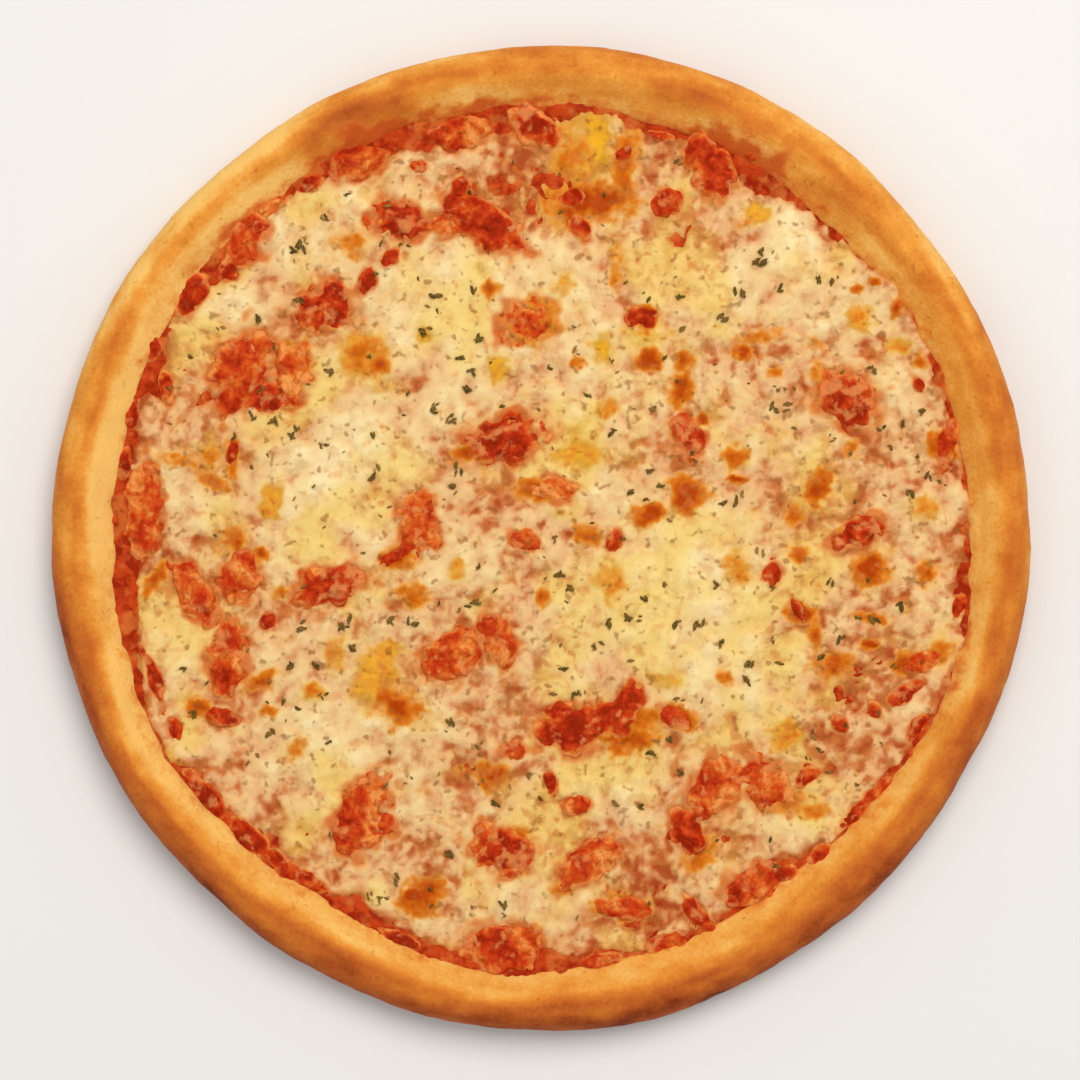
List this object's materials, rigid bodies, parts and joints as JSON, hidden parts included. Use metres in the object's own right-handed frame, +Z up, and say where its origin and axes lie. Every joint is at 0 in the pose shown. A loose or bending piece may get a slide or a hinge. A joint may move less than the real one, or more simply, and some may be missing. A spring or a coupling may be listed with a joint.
{
  "type": "margherita pizza",
  "caption": "Round baked margherita pizza with a raised golden rim, tomato sauce, melted mozzarella, dried herb flakes and chunks of tomato.",
  "frame": {"origin": "centre of the flat underside, on the surface that the pizza lies on", "axes": "+Z up through the toppings, +Y away from whoever looks at it, +X to their right"},
  "size_m": [0.2997, 0.3021, 0.0202],
  "materials": {
    "dough": "matte baked crust, golden with browner patches",
    "sauce": "moist tomato sauce",
    "cheese": "melted cheese with a slight sheen, browned in spots",
    "tomato": "moist cooked tomato"
  },
  "bodies": {
    "root": {"dough": "dough", "sauce": "sauce", "cheese": "cheese", "tomato_01": "tomato", "tomato_02": "tomato", "tomato_03": "tomato", "tomato_04": "tomato", "tomato_05": "tomato", "tomato_06": "tomato", "tomato_07": "tomato", "tomato_08": "tomato", "tomato_09": "tomato", "tomato_10": "tomato", "tomato_11": "tomato", "tomato_12": "tomato", "tomato_13": "tomato", "tomato_14": "tomato", "tomato_15": "tomato", "tomato_16": "tomato", "tomato_17": "tomato", "tomato_18": "tomato", "tomato_19": "tomato", "tomato_20": "tomato", "tomato_21": "tomato", "tomato_22": "tomato", "tomato_23": "tomato", "tomato_24": "tomato", "tomato_25": "tomato", "tomato_26": "tomato", "tomato_27": "tomato", "tomato_28": "tomato", "tomato_29": "tomato", "tomato_30": "tomato", "tomato_31": "tomato", "tomato_32": "tomato", "tomato_33": "tomato", "tomato_34": "tomato"}
  },
  "joints": []
}
